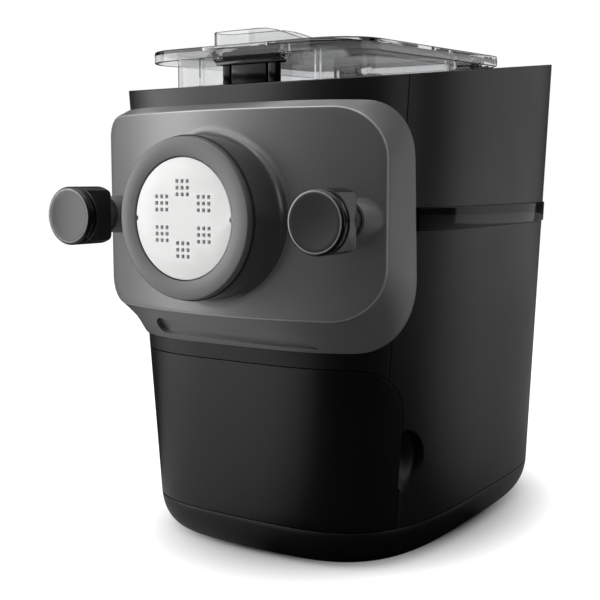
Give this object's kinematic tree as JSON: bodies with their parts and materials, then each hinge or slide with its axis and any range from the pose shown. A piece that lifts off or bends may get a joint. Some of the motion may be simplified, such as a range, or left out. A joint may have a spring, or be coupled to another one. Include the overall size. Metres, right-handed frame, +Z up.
{
  "type": "electric pasta maker",
  "caption": "Countertop pasta extruder: tall housing, clear mixing chamber under a hinged lid, geared paddle and screw, round shaping disc held by a front panel, and a storage drawer.",
  "frame": {"origin": "on the table, under the middle of the whole object", "axes": "+Z up, -Y towards the front with the shaping disc, +X to the object's left as it faces the viewer's right"},
  "size_m": [0.2196, 0.333, 0.3188],
  "materials": {
    "matte_black": "fine satin moulding",
    "gloss_black": "polished moulding",
    "graphite": "satin metallic paint",
    "clear": "clear polished moulding",
    "disc_white": "smooth moulding",
    "ring_grey": "satin metallic paint",
    "inner_plastic": "plain moulding",
    "gear_plastic": "plain moulding",
    "steel": "turned",
    "rubber": "matt",
    "board_green": "coated board"
  },
  "bodies": {
    "main_body": {"base_tray": "matte_black", "foot_front_left": "rubber", "foot_front_right": "rubber", "foot_rear_left": "rubber", "foot_rear_right": "rubber", "load_cell_front_left": "steel", "load_cell_front_right": "steel", "load_cell_rear_left": "steel", "load_cell_rear_right": "steel", "housing": "matte_black", "front_fascia": "matte_black", "trim_band": "gloss_black", "chassis": "inner_plastic", "drawer_runner_left": "inner_plastic", "drawer_runner_right": "inner_plastic", "mixing_chamber": "clear", "chamber_seal": "rubber", "extrusion_tube": "inner_plastic", "knob_stud_left": "steel", "knob_stud_right": "steel", "gearbox_case": "inner_plastic", "gearbox_cover": "inner_plastic", "bearing_front": "steel", "bearing_rear": "steel", "idler_axle": "steel", "motor_can": "steel", "top_deck": "matte_black", "control_panel": "gloss_black", "control_board": "board_green", "lid_switch": "inner_plastic", "lid_hinge_pin_left": "steel", "lid_hinge_pin_right": "steel", "main_board": "board_green", "cord_gland": "rubber"},
    "lid": {"lid": "clear", "latch_pin": "steel"},
    "lid_latch": {"lid_latch": "gloss_black"},
    "front_panel": {"front_panel": "graphite", "shaping_disc": "disc_white"},
    "disc_cap": {"disc_cap_ring": "ring_grey"},
    "left_knob": {"left_knob_cap": "gloss_black", "left_knob_grip": "gloss_black"},
    "right_knob": {"right_knob_cap": "gloss_black", "right_knob_grip": "gloss_black"},
    "storage_drawer": {"drawer_front": "gloss_black", "drawer_tray": "inner_plastic"},
    "drive": {"drive_shaft": "steel", "output_gear": "gear_plastic", "mixing_paddle": "inner_plastic", "extrusion_screw": "inner_plastic"},
    "idler": {"idler_gear": "gear_plastic"},
    "rotor": {"motor_rotor": "steel", "cooling_fan": "inner_plastic"},
    "power_button": {"power_button": "gloss_black"},
    "start_button": {"start_button": "gloss_black"}
  },
  "joints": [
    {"name": "lid_hinge", "type": "hinge", "parent": "main_body", "child": "lid", "pos_m": [0, 0.0935, 0.308], "axis": [-1, 0, 0], "range_deg": [0, 100]},
    {"name": "lid_latch_pivot", "type": "hinge", "parent": "lid", "child": "lid_latch", "pos_m": [0, -0.1005, 0.2995], "axis": [-1, 0, 0], "range_deg": [0, 12], "stiffness_Nm_per_rad": 0.2, "springref_deg": -5.73},
    {"name": "front_panel_slide", "type": "slide", "parent": "main_body", "child": "front_panel", "axis": [0, -1, 0], "range_m": [0, 0.06]},
    {"name": "disc_cap_turn", "type": "hinge", "parent": "front_panel", "child": "disc_cap", "pos_m": [0, -0.15, 0.2058], "axis": [0, 1, 0], "range_deg": [0, 60]},
    {"name": "left_knob_turn", "type": "hinge", "parent": "front_panel", "child": "left_knob", "pos_m": [-0.08567, -0.127, 0.2058], "axis": [0, 1, 0], "range_deg": [0, 90]},
    {"name": "right_knob_turn", "type": "hinge", "parent": "front_panel", "child": "right_knob", "pos_m": [0.08567, -0.127, 0.2058], "axis": [0, 1, 0], "range_deg": [0, 90]},
    {"name": "drawer_slide", "type": "slide", "parent": "main_body", "child": "storage_drawer", "axis": [0, -1, 0], "range_m": [0, 0.09]},
    {"name": "drive_spin", "type": "hinge", "parent": "main_body", "child": "drive", "pos_m": [0, 0.045, 0.2058], "axis": [0, 1, 0], "continuous": true},
    {"name": "idler_spin", "type": "hinge", "parent": "main_body", "child": "idler", "pos_m": [0, 0.0692, 0.1481], "axis": [0, 1, 0], "continuous": true},
    {"name": "rotor_spin", "type": "hinge", "parent": "main_body", "child": "rotor", "pos_m": [0, 0.0474, 0.0954], "axis": [0, 1, 0], "continuous": true},
    {"name": "power_button_slide", "type": "slide", "parent": "main_body", "child": "power_button", "axis": [0, 0.1103, -0.9939], "range_m": [0, 0.0012], "stiffness_N_per_m": 800, "springref_m": -0.0005},
    {"name": "start_button_slide", "type": "slide", "parent": "main_body", "child": "start_button", "axis": [0, 0.1103, -0.9939], "range_m": [0, 0.0012], "stiffness_N_per_m": 800, "springref_m": -0.0005}
  ],
  "couplings": [
    {"joint": "idler_spin", "follows": "drive_spin", "ratio": -3.6},
    {"joint": "rotor_spin", "follows": "drive_spin", "ratio": 11.52}
  ]
}
